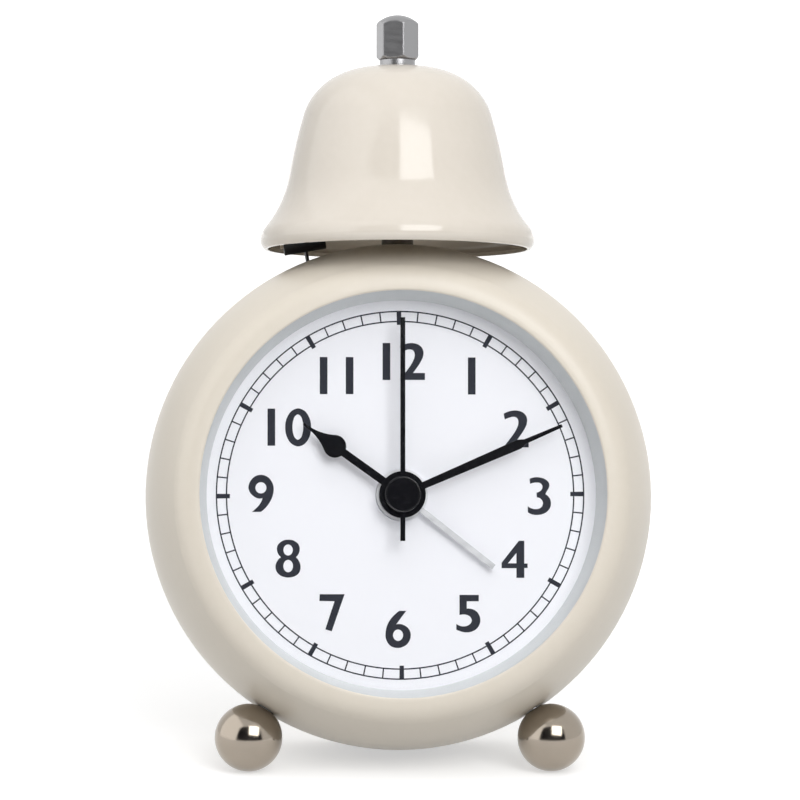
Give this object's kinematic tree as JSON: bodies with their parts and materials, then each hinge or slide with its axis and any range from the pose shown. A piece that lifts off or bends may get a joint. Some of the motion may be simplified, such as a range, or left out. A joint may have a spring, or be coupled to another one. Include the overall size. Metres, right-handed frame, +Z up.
{
  "type": "bell alarm clock",
  "caption": "Round metal alarm clock on two ball feet with one tall bell on top, a white dial with numerals and four hands.",
  "frame": {"origin": "centre of the bounding box at floor level", "axes": "+Z up, front of the clock towards -Y, +X to the right as seen from the front"},
  "size_m": [0.09, 0.0612, 0.1308],
  "materials": {
    "enamel": "gloss",
    "nickel": "satin",
    "post_steel": "turned",
    "steel": "zinc plated",
    "iron": "plain",
    "wire_steel": "drawn wire",
    "tip_metal": "plain",
    "hammer_black": "moulded",
    "lens_glass": "clear",
    "white_plastic": "gloss",
    "dial_white": "white lacquer",
    "hand_black": "black lacquer",
    "hand_silver": "brushed",
    "movement_plastic": "moulded",
    "wheel_plastic": "moulded",
    "brass": "machined",
    "copper_winding": "enamelled wire",
    "board_green": "laminate",
    "chip_black": "resin",
    "cell_wrap": "plain wrap",
    "cover_plastic": "moulded",
    "switch_black": "moulded"
  },
  "bodies": {
    "clock_body": {"case_shell": "enamel", "bell": "enamel", "bell_nut": "nickel", "bell_washer": "nickel", "left_foot": "nickel", "right_foot": "nickel", "bell_post": "post_steel", "cover_brackets": "steel", "movement_screws": "steel", "cover_screws": "steel", "bracket_screws": "steel", "hammer_bracket": "steel", "hammer_pin": "steel", "post_washer": "steel", "post_nut": "steel", "foot_screws": "steel", "positive_contact": "steel", "negative_spring": "steel", "quartz_crystal": "steel", "stator": "iron", "magnet_core": "iron", "lens": "lens_glass", "dial_ring": "white_plastic", "dial": "dial_white", "movement_front": "movement_plastic", "movement_rear": "movement_plastic", "drive_coil": "copper_winding", "magnet_coil": "copper_winding", "circuit_board": "board_green", "clock_chip": "chip_black", "battery": "cell_wrap", "rear_cover": "cover_plastic", "switch_body": "switch_black"},
    "second_group": {"second_hand": "hand_black", "second_arbor": "brass"},
    "minute_group": {"minute_hand": "hand_black", "cannon_pinion": "brass"},
    "hour_group": {"hour_hand": "hand_black", "hour_wheel": "wheel_plastic"},
    "alarm_group": {"alarm_hand": "hand_silver", "alarm_wheel": "wheel_plastic"},
    "time_setting": {"setting_wheel": "wheel_plastic", "time_knob": "cover_plastic"},
    "alarm_setting": {"alarm_arbor": "wheel_plastic", "alarm_knob": "cover_plastic"},
    "centre_group": {"centre_wheel": "brass"},
    "third_group": {"third_wheel": "brass"},
    "step_group": {"step_wheel": "wheel_plastic"},
    "rotor_group": {"rotor": "iron"},
    "hammer": {"hammer_lever": "iron", "hammer_wire": "wire_steel", "hammer_head": "hammer_black", "hammer_tip": "tip_metal"},
    "switch_slider": {"alarm_switch": "switch_black"},
    "door": {"battery_door": "cover_plastic"}
  },
  "joints": [
    {"name": "second_turn", "type": "hinge", "parent": "clock_body", "child": "second_group", "pos_m": [0, -0.01886, 0.0495], "axis": [0, 0.9787, -0.2055], "continuous": true},
    {"name": "minute_turn", "type": "hinge", "parent": "clock_body", "child": "minute_group", "pos_m": [0, -0.01886, 0.0495], "axis": [0, 0.9787, -0.2055], "continuous": true},
    {"name": "hour_turn", "type": "hinge", "parent": "clock_body", "child": "hour_group", "pos_m": [0, -0.01788, 0.0493], "axis": [0, 0.9787, -0.2055], "continuous": true},
    {"name": "alarm_turn", "type": "hinge", "parent": "clock_body", "child": "alarm_group", "pos_m": [0, -0.0169, 0.04909], "axis": [0, 0.9787, -0.2055], "continuous": true},
    {"name": "time_knob_turn", "type": "hinge", "parent": "clock_body", "child": "time_setting", "pos_m": [0.008, 0.01761, 0.04798], "axis": [0, 0.9787, -0.2055], "continuous": true},
    {"name": "alarm_knob_turn", "type": "hinge", "parent": "clock_body", "child": "alarm_setting", "pos_m": [-0.01039, 0.01761, 0.04798], "axis": [0, 0.9787, -0.2055], "continuous": true},
    {"name": "centre_turn", "type": "hinge", "parent": "clock_body", "child": "centre_group", "pos_m": [0, -0.00907, 0.04745], "axis": [0, 0.9787, -0.2055], "continuous": true},
    {"name": "third_turn", "type": "hinge", "parent": "clock_body", "child": "third_group", "pos_m": [-0.00328, -0.01093, 0.03862], "axis": [0, 0.9787, -0.2055], "continuous": true},
    {"name": "step_turn", "type": "hinge", "parent": "clock_body", "child": "step_group", "pos_m": [0.00617, -0.01058, 0.04025], "axis": [0, 0.9787, -0.2055], "continuous": true},
    {"name": "rotor_turn", "type": "hinge", "parent": "clock_body", "child": "rotor_group", "pos_m": [0.01406, -0.01117, 0.03744], "axis": [0, 0.9787, -0.2055], "continuous": true},
    {"name": "hammer_swing", "type": "hinge", "parent": "clock_body", "child": "hammer", "pos_m": [-0.0125, 0.00181, 0.06764], "axis": [0, -0.9787, 0.2055], "range_deg": [0, 4.6], "stiffness_Nm_per_rad": 0.02},
    {"name": "switch_slide", "type": "slide", "parent": "clock_body", "child": "switch_slider", "axis": [1, 0, 0], "range_m": [0, 0.004]},
    {"name": "door_tilt", "type": "hinge", "parent": "clock_body", "child": "door", "pos_m": [0, 0.01104, 0.02012], "axis": [-1, 0, 0], "range_deg": [0, 70]}
  ],
  "couplings": [
    {"joint": "minute_turn", "follows": "time_knob_turn", "ratio": -3},
    {"joint": "hour_turn", "follows": "time_knob_turn", "ratio": -0.25},
    {"joint": "alarm_turn", "follows": "alarm_knob_turn", "ratio": -0.5},
    {"joint": "step_turn", "follows": "second_turn", "ratio": -5},
    {"joint": "rotor_turn", "follows": "second_turn", "ratio": 30},
    {"joint": "third_turn", "follows": "second_turn", "ratio": -0.13333},
    {"joint": "centre_turn", "follows": "second_turn", "ratio": 0.016667}
  ]
}
